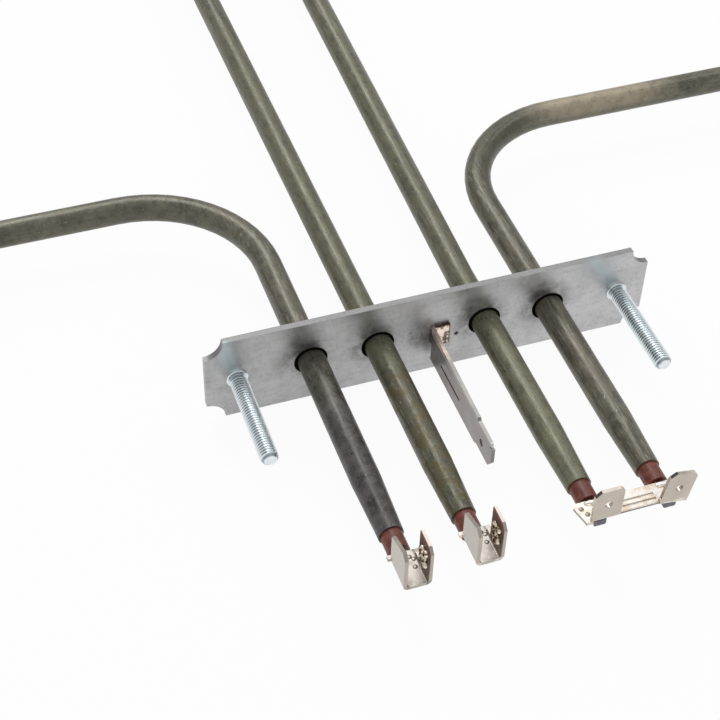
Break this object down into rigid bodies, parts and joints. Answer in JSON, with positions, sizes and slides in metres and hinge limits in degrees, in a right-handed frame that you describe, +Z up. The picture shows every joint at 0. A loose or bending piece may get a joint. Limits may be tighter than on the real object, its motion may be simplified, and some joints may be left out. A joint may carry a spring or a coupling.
{
  "type": "tubular heating element",
  "caption": "Flat twin tubular oven heating element: a wide outer loop and an inner hairpin through one stud plate, with push-on terminals.",
  "frame": {"origin": "centre of the mounting plate's front face, on the plane of the tube axes", "axes": "+X along the plate, +Y from the terminals toward the heated loops, +Z up"},
  "size_m": [0.3464, 0.3985, 0.0222],
  "materials": {
    "plate_steel": "satin zinc-coated sheet",
    "stud_steel": "bright zinc",
    "tab_steel": "nickel-coated sheet",
    "outer_sheath_steel": "oxidised olive-grey steel",
    "inner_sheath_steel": "oxidised olive-grey steel",
    "pin_steel": "dull steel",
    "powder": "packed powder",
    "seal": "red-brown silicone",
    "terminal_nickel": "bright nickel"
  },
  "bodies": {
    "root": {"mounting_plate": "plate_steel", "left_stud": "stud_steel", "right_stud": "stud_steel", "earth_tab": "tab_steel", "outer_sheath": "outer_sheath_steel", "inner_sheath": "inner_sheath_steel", "first_cold_pin": "pin_steel", "second_cold_pin": "pin_steel", "third_cold_pin": "pin_steel", "fourth_cold_pin": "pin_steel", "first_powder_fill": "powder", "second_powder_fill": "powder", "third_powder_fill": "powder", "fourth_powder_fill": "powder", "first_end_seal": "seal", "second_end_seal": "seal", "third_end_seal": "seal", "fourth_end_seal": "seal", "first_channel_terminal": "terminal_nickel", "second_channel_terminal": "terminal_nickel", "bridge_terminal": "terminal_nickel"}
  },
  "joints": []
}
